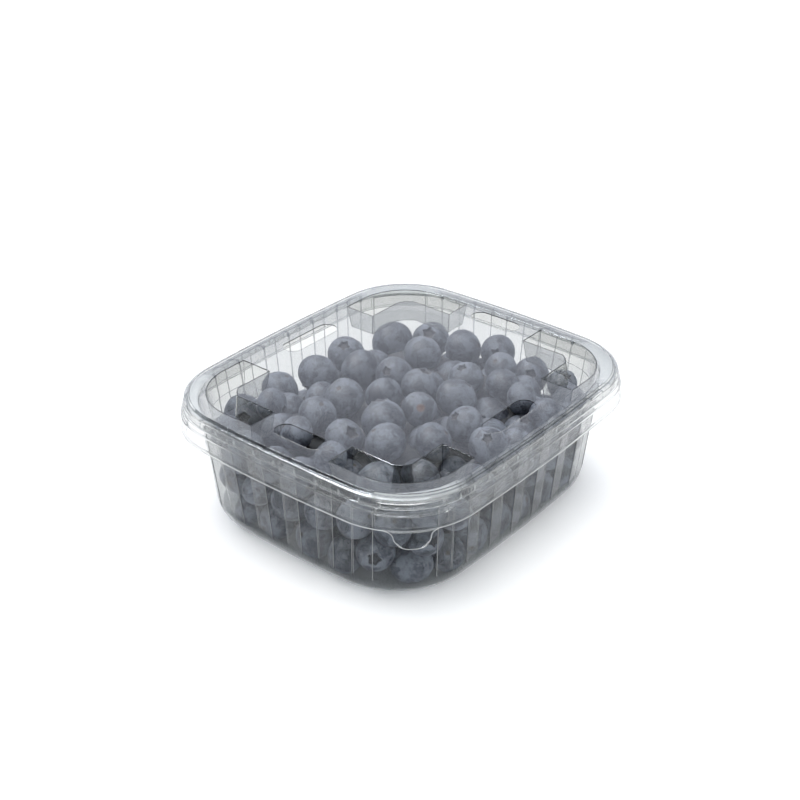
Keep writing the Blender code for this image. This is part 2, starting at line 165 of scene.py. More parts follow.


# %% [markdown]
# ## From a surface to film
# Both film pieces start as a surface without thickness. Before it is thickened, two numbers
# are stored on its faces, and the film's paint reads them later. "fold" says how sharply the
# sheet bends, and the paint darkens the film by it: a painted dark line, standing in for the
# way a tight bend works as a thick little lens and turns light away. "cloud" says how much
# pale plain plastic is mixed in. A cut edge has really lost its clearness, but along beads and
# bends the pale is a painted highlight. Both belong to the faces and not to the camera, so
# they stay put from every side.
#
# The strip along the cut edge comes from Inset with its boundary switched on. Thickness comes
# from Solidify, which passes both numbers on to the faces that it adds.

# %% Notes on the faces, and thickness
NARROW = 0.45             # only faces narrower than this can belong to a fold
BEND_SEEN = math.radians(5.0)              # a bend begins to show here
BEND_FULL = math.radians(23.0)             # and shows fully from here
# the cut edge's pale strip: partly frosted plastic, partly a painted highlight
CUT_EDGE_WIDE, CUT_EDGE_FROST_AND_HIGHLIGHT = 0.22, 0.55


# the film darkens by this note: a painted dark line along each bend
def mark_folds(piece, outward_share, inward_share):
    """Stores on every narrow face how sharply the sheet bends there."""
    build = bmesh.new()
    build.from_mesh(piece.data)
    for name in ("fold", "cloud"):
        build.faces.layers.float.new(name)
    note = build.faces.layers.float["fold"]
    for face in build.faces:
        if face.calc_area() > NARROW * MM * max(e.calc_length() for e in face.edges):
            continue
        bend = 0.0
        for e in face.edges:
            if len(e.link_faces) == 2:
                angle = e.calc_face_angle_signed(0.0)
                bend = max(bend, angle * (outward_share if angle > 0.0 else -inward_share))
        face[note] = min(max((bend - BEND_SEEN) / (BEND_FULL - BEND_SEEN), 0.0), 1.0)
    build.to_mesh(piece.data)
    build.free()


def thicken(piece):
    """Gives the surface its thickness, with a cloudy strip along its cut edge that is partly a
    painted highlight.
    """
    build = bmesh.new()
    build.from_mesh(piece.data)
    note = build.faces.layers.float["cloud"]
    border = bmesh.ops.inset_region(build, faces=build.faces[:], thickness=CUT_EDGE_WIDE * MM,
                                    use_boundary=True, use_even_offset=True)
    for face in border["faces"]:
        face[note] = CUT_EDGE_FROST_AND_HIGHLIGHT
    build.to_mesh(piece.data)
    build.free()
    thick = piece.modifiers.new("sheet", "SOLIDIFY")
    thick.thickness = SHEET * MM
    thick.offset = -1.0
    bake_modifiers(piece)


def keep_flat_faces_flat(piece):
    """Weights the shading by area, so that a fold doesn't tint the flat film beside it."""
    shade = piece.modifiers.new("shade", "WEIGHTED_NORMAL")
    shade.keep_sharp = True


print("a bend shows fully from", round(math.degrees(BEND_FULL)), "degrees")


# %% [markdown]
# ## The tub
# A punnet's tub is thin sheet sucked down into a mould. Its walls are folded in a shallow
# zigzag to stiffen them. Every outward fold ends in a sharp little bead that catches the
# light, and every inward fold in a soft groove. The corners stay plain, and the folds die out
# above a round bottom edge. At the top the sheet turns out into a flat rim and then down.
#
# The tub is drawn as one surface, the side that faces out and down, and a Solidify modifier
# gives it the sheet's thickness, just as forming does. Folds could be painted as a bump, but
# real ones bend what is seen through them, so they have to be shape. Before thickening, each
# inward fold gets a painted dark line. Afterwards its notes are touched up: the rim is cloudy
# at the corners, where it is widest, the beads get a painted highlight of pale plastic, and
# the floor gets painted shade, a dark tint, since little light reaches it under the fruit.

# %% How the wall of the tub folds
TUB_X, TUB_Y, TUB_R = 62.9, 72.4, 34.0     # half sizes and corner radius at the height below
TUB_AT_Z = 41.8
TUB_SHIFT_X, TUB_SHIFT_Y = -0.5, -0.8      # the tub sits a little off centre under the lid
TUB_TAPER = math.tan(0.078)
TUB_BOW = 0.8
TUB_FOOT_R, TUB_FILLET = 28.5, 7.0
FLUTE_DEEP, FLUTE_FOOT_Z = 1.0, 8.8        # depth of the folds, and where they die out
FLUTE_SHOWN = 0.7          # share of that depth in the drawn sheet
FLUTES_X, FLUTES_Y = 5, 7                  # how many a short wall and a long wall have
CORNER_PLAIN = 24.6        # run of wall round a corner without folds
BEAD_WIDE, BEAD_HIGH = 0.34, 0.22          # along every outward fold
GROOVE_WIDE, GROOVE_DEEP = 0.36, 0.08      # along every inward fold


def fold_depth(place, pitch):
    """How far in the wall lies, at a place between one outward fold and the next."""
    zigzag = 1.0 - abs(2.0 * place / pitch - 1.0)
    bead = max(0.0, 1.0 - min(abs(place), abs(pitch - place)) / BEAD_WIDE)
    dip = max(0.0, 1.0 - abs(place - 0.5 * pitch) / GROOVE_WIDE)
    return FLUTE_SHOWN * FLUTE_DEEP * zigzag - BEAD_HIGH * bead + GROOVE_DEEP * dip


def tub_stations():
    """Places round the tub with the wall's depth at each, close together at the folds."""
    quarter = 0.25 * math.pi * TUB_R
    plain = 0.5 * CORNER_PLAIN
    near_bead = (0.0, 0.5 * BEAD_WIDE, BEAD_WIDE, 1.2)
    near_dip = (-0.8, -GROOVE_WIDE, -0.5 * GROOVE_WIDE, 0.0, 0.5 * GROOVE_WIDE, GROOVE_WIDE, 0.8)
    out = []
    for k in range(4):
        straight = 2.0 * ((TUB_Y if k % 2 == 0 else TUB_X) - TUB_R)
        number = FLUTES_Y if k % 2 == 0 else FLUTES_X
        run = straight + 2.0 * (quarter - plain)
        pitch = run / number
        places = list(near_bead) + [0.26 * pitch]
        places += [0.5 * pitch + d for d in near_dip]
        places += [0.74 * pitch] + [pitch - d for d in reversed(near_bead[1:])]
        spots = [(plain * (i / 6.0 - 1.0), 0.0) for i in range(6)]
        spots += [(-BEAD_WIDE, 0.0), (-0.5 * BEAD_WIDE, -0.5 * BEAD_HIGH)]
        for j in range(number):
            spots += [(j * pitch + d, fold_depth(d, pitch)) for d in places]
        spots += [(run, -BEAD_HIGH), (run + 0.5 * BEAD_WIDE, -0.5 * BEAD_HIGH),
                  (run + BEAD_WIDE, 0.0)]
        spots += [(run + plain * i / 6.0, 0.0) for i in range(1, 6)]
        for s, deep in spots:
            place = s + plain
            if place < quarter:
                out.append((("corner", k, 0.5 + 0.5 * place / quarter), deep))
            elif place <= quarter + straight:
                out.append((("side", k, (place - quarter) / straight), deep))
            else:
                turn = (place - quarter - straight) / quarter
                out.append((("corner", (k + 1) % 4, 0.5 * turn), deep))
    return out


def tub_ring(stations, inset, z, share, r=None):
    """A level of the wall; share is how much of the folds' depth it has."""
    drop = (TUB_AT_Z - z) * TUB_TAPER
    hx = TUB_X - drop - inset
    hy = TUB_Y - drop - inset
    corner = (TUB_R - inset) if r is None else r
    ring = []
    for station, deep in stations:
        x, y, zz = ring_point(station, hx, hy, corner, z, TUB_BOW, -share * deep)
        ring.append((x + TUB_SHIFT_X, y + TUB_SHIFT_Y, zz))
    return ring


print("stations round the tub:", len(tub_stations()))

# %% The tub's sheet
RIM_DROP = 4.0            # the rim's edge turns down by this much


def rim_ring(stations, inset, z):
    """A level of the rim, which follows the lid and not the tub's own wall."""
    return [ring_point(s, LID_TOP_X - inset, LID_TOP_Y - inset, LID_TOP_R - inset, z, LID_BOW)
            for s, deep in stations]


def part_way(a, b, share):
    return [tuple(p + share * (q - p) for p, q in zip(one, two)) for one, two in zip(a, b)]


def tub_sheet():
    stations = tub_stations()
    rings = []
    foot = tub_ring(stations, TUB_FILLET, 0.0, 0.0, TUB_FOOT_R)
    middle = [(TUB_SHIFT_X, TUB_SHIFT_Y, 0.0)] * len(foot)
    for share in (0.06, 0.35, 0.7, 0.93):
        rings.append(part_way(middle, foot, share))
    for step in range(10):
        a = math.radians(10.0 * step)
        inset = TUB_FILLET * (1.0 - math.sin(a))
        corner = TUB_R - (1.0 - math.sin(a)) * (TUB_R - TUB_FOOT_R)
        rings.append(tub_ring(stations, inset, TUB_FILLET * (1.0 - math.cos(a)), 0.0, corner))
    for share in (0.15, 0.4, 0.65, 0.88, 1.0):
        z = TUB_FILLET + share * (FLUTE_FOOT_Z + 0.6 - TUB_FILLET)
        rings.append(tub_ring(stations, 0.0, z, share * share * (3.0 - 2.0 * share)))
    rim_under = TOTAL_H - LEDGE_DROP - FILM - NODE_GAP - FILM
    for z in (12.0, 20.0, 30.0, 40.0, 48.0, rim_under - 1.2, rim_under - 0.35):
        rings.append(tub_ring(stations, 0.0, z, 1.0))
    mouth = tub_ring(stations, 0.0, rim_under, 1.0)
    outer = rim_ring(stations, 1.8, rim_under)
    rings += [part_way(mouth, outer, 0.12), part_way(mouth, outer, 0.55), outer]
    edge = FILM + NODE_GAP + 0.1 + FILM
    for inset, down in ((0.12, 0.5), (0.02, 1.1), (0.02, 2.6), (0.02, RIM_DROP - 0.1)):
        rings.append(rim_ring(stations, edge + inset, rim_under - down))
    return loft(rings, cap_first=True)


tub = new_piece("tub_sheet", *tub_sheet())
# painted dark lines along the inward folds only
mark_folds(tub, outward_share=0.0, inward_share=0.45)
thicken(tub)
print("tub sheet:", triangles(tub), "triangles")

# %% Touch up the tub's notes
# a cloudy rim corner, a painted highlight on the beads, and painted shade on the floor
RIM_CLOUD, BEAD_PAINTED_HIGHLIGHT, FLOOR_PAINTED_SHADE = 0.42, 0.30, 0.75
RIM_FADE = 8.0            # the cloud reaches full strength this far into a corner
BEAD_FACE_WIDE = 0.22     # only faces narrower than this belong to a bead
FLOOR_TOP = 3.0           # faces under this height belong to the floor


def touch_up(piece):
    """A cloudy rim at the corners, a painted highlight along the beads, and painted shade on the
    floor.
    """
    cloud = piece.data.attributes["cloud"].data
    folds = piece.data.attributes["fold"].data
    for face in piece.data.polygons:
        x, y, z = face.center / MM
        corners = [piece.data.vertices[v].co for v in face.vertices]
        longest = max((a - b).length for a, b in zip(corners, corners[1:]))
        if z > TUB_AT_Z and abs(face.normal.z) > 0.5:
            deep = min(abs(x) - (LID_TOP_X - LID_TOP_R), abs(y) - (LID_TOP_Y - LID_TOP_R))
            cloud[face.index].value = RIM_CLOUD * min(max(deep / RIM_FADE, 0.0), 1.0)
        elif z > FLUTE_FOOT_Z and face.area < BEAD_FACE_WIDE * MM * longest:
            if folds[face.index].value < 0.05 and abs(face.normal.z) < 0.4:
                # painted highlight: pale plastic on the beads' faces
                cloud[face.index].value = BEAD_PAINTED_HIGHLIGHT
        elif z < FLOOR_TOP:
            # painted shade: the floor's film tinted dark
            folds[face.index].value = FLOOR_PAINTED_SHADE


touch_up(tub)
keep_flat_faces_flat(tub)
print("cloudy faces on the tub:", sum(n.value > 0.0 for n in tub.data.attributes["cloud"].data))


# %% [markdown]
# ## The lid
# The lid is a shallow cap. Its panel is flat and stands a little above a narrow ledge. An
# L-shaped pocket is pressed down at every corner, to stiffen the panel and hold the fruit, and
# a pill-shaped vent is punched near the middle of each side. The wall steps out twice on its
# way down. At the corners short flat grooves press in under the tub's rim, which is what makes
# the lid clip on. The wall ends in a thin lip, and at one corner the lip grows into a tab to
# lift it by.
#
# The pockets are cut into a closed block with a Boolean modifier, their edges are rounded
# with Bevel, and only then does the block lose its underside and become a sheet. The block
# reaches a little below the lip, so that Bevel rounds its bottom edge and not the lip itself.
# Rounding before thickening keeps both faces of the film parallel, as they are in formed sheet.

# %% The lid's side view, from the panel outward and down
LID_CORNERS = [            # inset from the top edge, spread towards the lip, drop
    (3.4, 0.0, 0.02), (2.32, 0.0, 0.02), (1.75, 0.0, 1.02), (0.80, 0.0, LEDGE_DROP + 0.02),
    (0.02, 0.0, 1.60), (0.02, 0.12, 4.10), (0.02, 0.36, 4.50), (0.02, 0.46, 6.40),
    (0.02, 0.66, 6.80), (0.02, 0.78, 12.05), (0.02, 1.0, 12.70), (0.02, 1.0, 13.37),
]


SIDE_ROUND = 0.25          # radius of the side view's corners


def soften(corners, radius, steps=3):
    """The side view with its corners rounded."""
    out = [corners[0]]
    for before, here, after in zip(corners, corners[1:], corners[2:]):
        ends = []
        for other in (before, after):
            out_by = other[0] - here[0] + LID_STEP_X * (here[1] - other[1])
            span = math.hypot(out_by, other[2] - here[2])
            share = min(0.45, radius / span)
            ends.append(tuple(h + share * (o - h) for h, o in zip(here, other)))
        for i in range(steps + 1):
            t = i / steps
            out.append(tuple((1 - t) ** 2 * p + 2 * t * (1 - t) * q + t * t * s
                             for p, q, s in zip(ends[0], here, ends[1])))
    out.append(corners[-1])
    return out


# each clip groove: drops where it starts and ends, and how deep it is
CLIP_GROOVES = ((2.35, 3.05, 0.30), (5.10, 7.45, 0.52))
CLIP_REACH = 14.0          # half their length round the corner
CLIP_EDGE = 0.28           # how soon they reach their depth


def clip_groove(station, drop):
    """How far the wall is pressed in at one place by the corner's clip grooves."""
    kind, k, f = station
    if kind != "corner":
        return 0.0
    across = abs(f - 0.5) * 0.5 * math.pi * LID_LIP_R
    ends = min(max((CLIP_REACH - across) / (2.0 * CLIP_EDGE), 0.0), 1.0)
    press = 0.0
    for start, end, deep in CLIP_GROOVES:
        inside = min(drop - start, end - drop) / CLIP_EDGE
        press += deep * min(max(inside, 0.0), 1.0)
    return press * ends


def clip_levels():
    """Extra levels where the grooves begin and end."""
    out = []
    for start, end, deep in CLIP_GROOVES:
        out += [start, start + CLIP_EDGE, end - CLIP_EDGE, end]
    return out


def row_at(rows, drop):
    """The side view's row at a drop between two of its rows."""
    for a, b in zip(rows, rows[1:]):
        if a[2] <= drop <= b[2]:
            share = (drop - a[2]) / (b[2] - a[2])
            return tuple(p + share * (q - p) for p, q in zip(a, b))


lid_side = soften(LID_CORNERS, SIDE_ROUND)
lid_side += [row_at(lid_side, drop) for drop in clip_levels()]
lid_side.sort(key=lambda row: (row[2], -row[0]))
print("the lid's wall:", len(lid_side), "levels")


# %% Stations round the lid
def lid_stations(corner_steps, side_steps):
    """Places round the lid, with extra ones where the clip grooves end."""
    arc = 0.5 * math.pi * LID_LIP_R
    ends = [0.5 + side * (CLIP_REACH - back) / arc
            for side in (-1, 1) for back in (0.0, CLIP_EDGE, 2.0 * CLIP_EDGE)]
    turns = sorted([i / corner_steps for i in range(corner_steps + 1)] + ends)
    out = []
    for k in range(4):
        out += [("corner", k, f) for f in turns]
        out += [("side", k, i / side_steps) for i in range(1, side_steps)]
    return out


def lid_ring(stations, inset, spread, drop):
    """A level of the lid; spread goes from 0 at the top edge to 1 at the lip."""
    hx = LID_TOP_X + spread * (LID_LIP_X - LID_TOP_X) - inset
    hy = LID_TOP_Y + spread * (LID_LIP_Y - LID_TOP_Y) - inset
    r = LID_TOP_R + spread * (LID_LIP_R - LID_TOP_R) - inset
    return [ring_point(s, hx, hy, r, TOTAL_H - drop, LID_BOW, -clip_groove(s, drop))
            for s in stations]


around_lid = lid_stations(32, 10)
lip_inset, lip_spread, LIP_DROP = LID_CORNERS[-1]
BLOCK_DROP = LIP_DROP + 3.0       # the closed block reaches below the lip, to be trimmed there
lid_rings = [lid_ring(around_lid, *row) for row in lid_side]
lid_rings.append(lid_ring(around_lid, lip_inset, lip_spread, BLOCK_DROP))
print("stations round the lid:", len(around_lid))


# %% Pocket and vent cutters
# the legs of the L lie between IN and OUT, end at END, and meet at a flat FACET
POCKET_IN_X, POCKET_OUT_X, POCKET_END_Y = 44.8, 59.5, 32.6
POCKET_IN_Y, POCKET_OUT_Y, POCKET_END_X = 55.4, 68.2, 20.0
POCKET_OUT_R, POCKET_FACET = 25.0, 4.7
POCKET_DEPTH, POCKET_DRAFT = 10.0, 1.4
VENT_WIDE = 9.0
VENT_SHORT_LONG, VENT_SHORT_AT = 24.0, 62.3             # on the short sides, -Y and +Y
VENT_LONG_LONG, VENT_LONG_AT = 30.0, 52.0               # on the long sides, -X and +X


def pocket_outline(grow):
    """An L with its inner corner cut flat and its outer corner round, in the +X +Y quarter."""
    ox, oy = POCKET_OUT_X + grow, POCKET_OUT_Y + grow
    ix, iy = POCKET_IN_X - grow, POCKET_IN_Y - grow
    ex, ey = POCKET_END_X - grow, POCKET_END_Y - grow
    ro = POCKET_OUT_R + grow
    flat = POCKET_FACET - grow
    out = [(ex, oy), (ex, iy), (ix - flat, iy), (ix - 0.44 * flat, iy - 0.44 * flat),
           (ix, iy - flat), (ix, ey), (ox, ey)]
    for i in range(25):
        a = math.radians(3.75 * i)
        out.append((ox - ro + ro * math.cos(a), oy - ro + ro * math.sin(a)))
    return out


def cutter(name, blocks):
    """Closed blocks, each a list of rings, as one cutting tool."""
    points, faces = [], []
    for rings in blocks:
        part_points, part_faces = loft(rings, True, True)
        base = len(points)
        points += part_points
        faces += [tuple(base + i for i in face) for face in part_faces]
    tool = new_piece(name, points, faces, smooth=False)
    build = bmesh.new()
    build.from_mesh(tool.data)
    bmesh.ops.recalc_face_normals(build, faces=build.faces)
    build.to_mesh(tool.data)
    build.free()
    return tool


def pocket_cutter():
    blocks = []
    slope = POCKET_DRAFT / POCKET_DEPTH
    for sx, sy in ((1, -1), (1, 1), (-1, 1), (-1, -1)):
        rings = []
        for z, more in ((TOTAL_H + 1.0, slope), (TOTAL_H - POCKET_DEPTH, -POCKET_DRAFT)):
            rings.append([(sx * x, sy * y, z) for x, y in pocket_outline(more)])
        blocks.append(rings)
    return cutter("pocket_cutter", blocks)


def vent_cutter():
    blocks = []
    half = 0.5 * VENT_WIDE
    plan = ((0.0, -VENT_SHORT_AT, VENT_SHORT_LONG, False),
            (0.0, VENT_SHORT_AT, VENT_SHORT_LONG, False),
            (-VENT_LONG_AT, 0.0, VENT_LONG_LONG, True),
            (VENT_LONG_AT, 0.0, VENT_LONG_LONG, True))
    for cx, cy, long, along_y in plan:
        reach = 0.5 * long - half
        outline = []
        for end in (1, -1):
            for i in range(17):
                a = math.radians(-90.0 + 11.25 * i)
                outline.append((end * (reach + half * math.cos(a)), end * half * math.sin(a)))
        rings = []
        for z in (TOTAL_H - 3.0, TOTAL_H + 2.0):
            rings.append([(cx - v, cy + u, z) if along_y else (cx + u, cy + v, z)
                          for u, v in outline])
        blocks.append(rings)
    return cutter("vent_cutter", blocks)


print("pocket outline:", len(pocket_outline(0.0)), "points")


# %% The thumb tab
TAB_WIDE, TAB_LONG, TAB_LEAN = 14.2, 6.2, math.radians(35.0)
TAB_SIDE = (               # share of its length, and its width there over TAB_WIDE
    (0.0, 1.45), (0.07, 1.29), (0.15, 1.17), (0.23, 1.09), (0.34, 1.03), (0.47, 0.99),
    (0.60, 0.98), (0.73, 0.96), (0.85, 0.92), (0.94, 0.86), (1.0, 0.79),
)


def grow_tab(build):
    """Pulls the lip out into a rounded tab at the +X -Y corner."""
    low = min(v.co.z for v in build.verts)
    mid = Vector((LID_LIP_X - LID_LIP_R, -(LID_LIP_Y - LID_LIP_R), 0.0)) * MM
    out = Vector((math.cos(-0.25 * math.pi), math.sin(-0.25 * math.pi), 0.0))
    across = Vector((-out.y, out.x, 0.0))
    reach = 0.5 * TAB_WIDE * TAB_SIDE[0][1] * MM
    lip = [v for v in build.verts if v.co.z < low + 1e-6 and (v.co - mid).dot(out) > 0.0
           and abs((v.co - mid).dot(across)) < reach]
    lip.sort(key=lambda v: (v.co - mid).dot(across))
    widest = max(abs((v.co - mid).dot(across)) for v in lip)
    start = [v.co.copy() for v in lip]
    last = lip
    for share, wide in TAB_SIDE[1:]:
        row = []
        for point in start:
            s = (point - mid).dot(across)
            long = TAB_LONG * share * (1.0 - 0.30 * abs(s / widest) ** 4) * MM
            narrow = s * wide / TAB_SIDE[0][1]
            bend = (s * s - narrow * narrow) / (2.0 * LID_LIP_R * MM)
            place = point + across * (narrow - s) + out * (long * math.sin(TAB_LEAN) + bend)
            place.z -= long * math.cos(TAB_LEAN)
            row.append(build.verts.new(place))
        for i in range(len(row) - 1):
            build.faces.new((last[i], last[i + 1], row[i + 1], row[i]))
        last = row
    bmesh.ops.recalc_face_normals(build, faces=build.faces)


print("thumb tab, mm:", TAB_WIDE, "wide,", TAB_LONG, "long")


# %% The lid's sheet
FOLD_ROUND = 0.30         # width of a rounded edge
SHARP = math.radians(40.0)                 # edges that bend more than this are rounded
TRIM_BELOW = 0.05         # trimmed this far under the lip, so that its own points stay


def cut(piece, tool):
    """Takes a tool's shape away from a piece, and the tool with it."""
    mod = piece.modifiers.new("cut", "BOOLEAN")
    mod.operation = "DIFFERENCE"
    mod.solver = "EXACT"
    mod.object = tool
    bake_modifiers(piece)
    bpy.data.objects.remove(tool, do_unlink=True)


def lid_surface():
    """The pressed block without its underside, and with its tab."""
    piece = cutter("lid_sheet", [lid_rings])
    cut(piece, pocket_cutter())
    round_off = piece.modifiers.new("folds", "BEVEL")
    round_off.width = FOLD_ROUND * MM
    round_off.segments = 2
    round_off.limit_method = "ANGLE"
    round_off.angle_limit = SHARP
    bake_modifiers(piece)
    build = bmesh.new()
    build.from_mesh(piece.data)
    trim_z = (TOTAL_H - LIP_DROP - TRIM_BELOW) * MM
    below = [v for v in build.verts if v.co.z < trim_z]
    bmesh.ops.delete(build, geom=below, context="VERTS")
    grow_tab(build)
    for face in build.faces:
        face.smooth = True
    build.to_mesh(piece.data)
    build.free()
    return piece


lid = lid_surface()
# painted dark lines along every sharp bend of the lid
mark_folds(lid, outward_share=0.6, inward_share=1.0)
print("lid surface:", triangles(lid), "triangles")

# %% Touch up the lid's notes, and thicken it
# shares of painted dark line and painted highlight along bends of the outer wall
WALL_PAINTED_BEND_SHADE, WALL_PAINTED_HIGHLIGHT = 0.3, 0.22          # how a bend in the outer wall shows
WALL_PAST = 1.5           # the outer wall lies at least this far past the pockets
NEAR = 4.0                # how far from its line a facet or step may lie
UPRIGHT = 0.4             # a face stands if its normal's height is less than this


def in_outer_wall(x, y, z):
    """Whether a place lies past the pockets and below the ledge."""
    ax = abs(x) - (POCKET_OUT_X - POCKET_OUT_R)
    ay = abs(y) - (POCKET_OUT_Y - POCKET_OUT_R)
    past = math.hypot(max(ax, 0.0), max(ay, 0.0)) > POCKET_OUT_R + WALL_PAST
    return past and z < TOTAL_H - LEDGE_DROP


def on_near_facet(x, y, z, normal):
    """Whether a face is the facet across the inner corner of the pocket at +X -Y."""
    in_pocket = TOTAL_H - POCKET_DEPTH + 0.3 < z < TOTAL_H - 0.5
    near = 0.0 < x < POCKET_IN_X + NEAR and y < 0.0
    slanted = abs(normal.z) < UPRIGHT and abs(abs(normal.x) - abs(normal.y)) < 0.2
    return in_pocket and near and slanted


def on_near_step(y, z, normal):
    """Whether a face is in the step from panel to ledge, along the -Y side."""
    level = TOTAL_H - LEDGE_DROP < z < TOTAL_H and y < NEAR - LID_TOP_Y
    return level and 0.25 < normal.z < 0.9 and normal.y < -0.35


def touch_up_lid(piece):
    """Painted highlights and fainter painted dark lines where the outer wall bends, and painted
    shade on the near facet and step.
    """
    cloud = piece.data.attributes["cloud"].data
    folds = piece.data.attributes["fold"].data
    for face in piece.data.polygons:
        x, y, z = face.center / MM
        if in_outer_wall(x, y, z):
            bend = folds[face.index].value
            folds[face.index].value = WALL_PAINTED_BEND_SHADE * bend
            cloud[face.index].value = WALL_PAINTED_HIGHLIGHT * bend
        # painted shade: the near pocket's facet and the near step go fully dark
        if on_near_facet(x, y, z, face.normal) or on_near_step(y, z, face.normal):
            folds[face.index].value = 1.0


touch_up_lid(lid)
thicken(lid)
cut(lid, vent_cutter())
keep_flat_faces_flat(lid)
print("lid sheet:", triangles(lid), "triangles")


# %% [markdown]
# ## Where the berries lie
# Fruit in a punnet rests where it falls. The same settling routine that shaped the solid
# heap is run again here, with the same seed, so every berry lands inside that heap. Each
# step pulls the loose balls down and pushes apart any two that overlap. Berries that show
# through the lid and at the plain corner have a place of their own, and the rest fill in.
# A rigid-body simulation would do the same, but it depends on frames and caches, while this
# gives the same heap every time.

# %% Settle the berries
BERRY_COUNT, BERRY_SMALL, BERRY_BIG = 200, 6.6, 9.2     # radius range
HEAP_LEVEL, HEAP_DOME = 52.6, 0.0016       # height of the heap's top, and how it rounds off
HEAP_TOP_X, HEAP_TOP_Y = 8.0, -14.0
HEAP_SEED = 11
SETTLE_STEPS, SETTLE_FULL, SETTLE_PULL = 700, 400, 0.5  # the pull fades after SETTLE_FULL
BERRY_TOUCH = 0.99         # two berries rest this share of their radii apart
PUSH_SHARE, HOLD_SHARE = 0.42, 0.3         # of an overlap, and of the way back to a held place
BERRIES_ON_TOP = (         # where the ones under the lid lie, and how big each is
    (-19.6, 35.9, 8.3), (-11.4, 54.8, 8.8), (3.8, 59.2, 7.7), (-45.3, 15.1, 8.1),
    (-42.3, -6.3, 8.7), (-30.0, 7.4, 8.9), (-14.5, 10.0, 7.6), (-17.2, -18.0, 8.2),
    (-5.4, -6.8, 7.8), (1.9, 8.4, 8.3), (10.9, 26.6, 7.7), (17.0, 43.9, 7.0),
    (26.0, 32.8, 7.7), (18.2, 11.6, 8.8), (13.3, -7.2, 7.2), (6.4, -21.4, 9.1),
    (-16.7, -34.4, 7.8), (-37.3, -40.0, 6.9), (-13.8, -50.3, 7.0), (3.8, -41.8, 7.8),
    (18.3, -33.8, 8.5), (32.7, -22.2, 7.7), (34.2, -3.7, 7.5), (39.2, 27.4, 6.9),
    (52.6, 24.7, 7.2), (50.6, 8.7, 6.7), (49.4, -9.6, 7.7), (9.0, -55.8, 6.8),
)
BERRIES_LOW = (            # the ones under the pockets or in a corner: place, height, size
    (-47.0, 50.2, 33.4, 9.7), (-35.2, 63.0, 34.6, 8.6), (21.1, 61.4, 35.3, 8.0),
    (38.4, 61.8, 36.5, 6.7), (35.6, -59.4, 15.0, 7.6), (43.5, -50.5, 9.2, 8.4),
    (48.6, -48.0, 21.0, 7.2), (49.7, -33.5, 8.2, 7.4),
)


def tub_room(x, y, z, reach):
    """How far a ball of this reach pokes through the tub's inner wall, and which way is in."""
    drop = (TUB_AT_Z - z) * TUB_TAPER
    side = FILM + FLUTE_DEEP + NODE_GAP + reach
    hx = TUB_X - drop
    hy = TUB_Y - drop
    qx = numpy.abs(x - TUB_SHIFT_X) - (hx - TUB_R)
    qy = numpy.abs(y - TUB_SHIFT_Y) - (hy - TUB_R)
    ax = numpy.maximum(qx, 0.0)
    ay = numpy.maximum(qy, 0.0)
    corner = (ax > 0) & (ay > 0)
    span = numpy.maximum(numpy.hypot(ax, ay), 1e-9)
    nx = numpy.where(corner, ax / span, (qx > qy).astype(float)) * numpy.sign(x - TUB_SHIFT_X)
    ny = numpy.where(corner, ay / span, (qx <= qy).astype(float)) * numpy.sign(y - TUB_SHIFT_Y)
    far = numpy.where(corner, span, numpy.maximum(qx, qy)) - (TUB_R - side)
    return far, nx, ny


def heap_level(x, y):
    """Height of the heap's top surface."""
    fall = 0.5 * HEAP_DOME * ((x - HEAP_TOP_X) ** 2 + (y - HEAP_TOP_Y) ** 2)
    return HEAP_LEVEL - fall


def pocket_push(x, y, z, radius):
    """Shift that frees balls from the lid's corner pockets."""
    low = TOTAL_H - POCKET_DEPTH - FILM - NODE_GAP
    ax = numpy.abs(x)
    ay = numpy.abs(y)
    shift = [numpy.zeros(len(x)), numpy.zeros(len(x)), numpy.zeros(len(x))]
    legs = ((POCKET_IN_X, POCKET_END_Y), (POCKET_END_X, POCKET_IN_Y))
    for from_x, from_y in legs:
        px = numpy.clip(ax, from_x - FILM, POCKET_OUT_X)
        py = numpy.clip(ay, from_y - FILM, POCKET_OUT_Y)
        pz = numpy.maximum(z, low)
        dx, dy, dz = ax - px, ay - py, z - pz
        span = numpy.sqrt(dx * dx + dy * dy + dz * dz)
        free = numpy.where(span > 1e-6, radius + NODE_GAP - span, 0.0)
        push = numpy.maximum(free, 0.0) / numpy.maximum(span, 1e-6)
        within = span <= 1e-6
        shift[0] += push * dx * numpy.sign(x)
        shift[1] += push * dy * numpy.sign(y)
        shift[2] += push * dz - numpy.where(within, 2.0, 0.0)
    return shift


